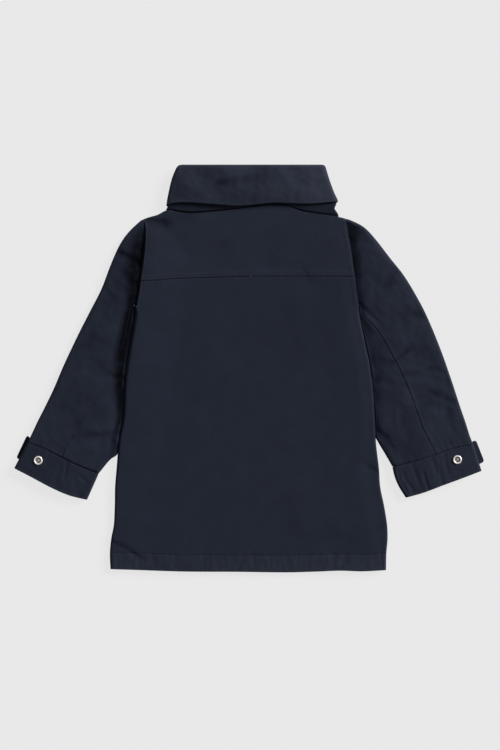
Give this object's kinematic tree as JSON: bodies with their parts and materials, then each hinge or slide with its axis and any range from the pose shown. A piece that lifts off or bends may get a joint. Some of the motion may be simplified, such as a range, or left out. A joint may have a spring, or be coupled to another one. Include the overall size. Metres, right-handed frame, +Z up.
{
  "type": "parka",
  "caption": "Child's parka laid flat on its front: back with a shoulder yoke, turned-down collar, two-piece sleeves and cuffs with ring snaps and adjusting straps",
  "frame": {"origin": "on the surface the parka lies on, below the middle of its outline", "axes": "X runs across the back from the left cuff to the right one, +Y runs from the hem to the collar, +Z points up out of the back"},
  "size_m": [0.7028, 0.6108, 0.0157],
  "materials": {
    "shell": "matt navy cotton shell cloth, closely woven",
    "snap_metal": "polished nickel-plated metal"
  },
  "bodies": {
    "root": {"back": "shell", "yoke": "shell", "front_left": "shell", "front_right": "shell", "collar_stand": "shell", "collar_fall": "shell", "sleeve_upper_left": "shell", "sleeve_under_left": "shell", "cuff_left": "shell", "cuff_tab_left": "shell", "snap_ring_left": "snap_metal", "snap_stud_left": "snap_metal", "sleeve_upper_right": "shell", "sleeve_under_right": "shell", "cuff_right": "shell", "cuff_tab_right": "shell", "snap_ring_right": "snap_metal", "snap_stud_right": "snap_metal"}
  },
  "joints": []
}
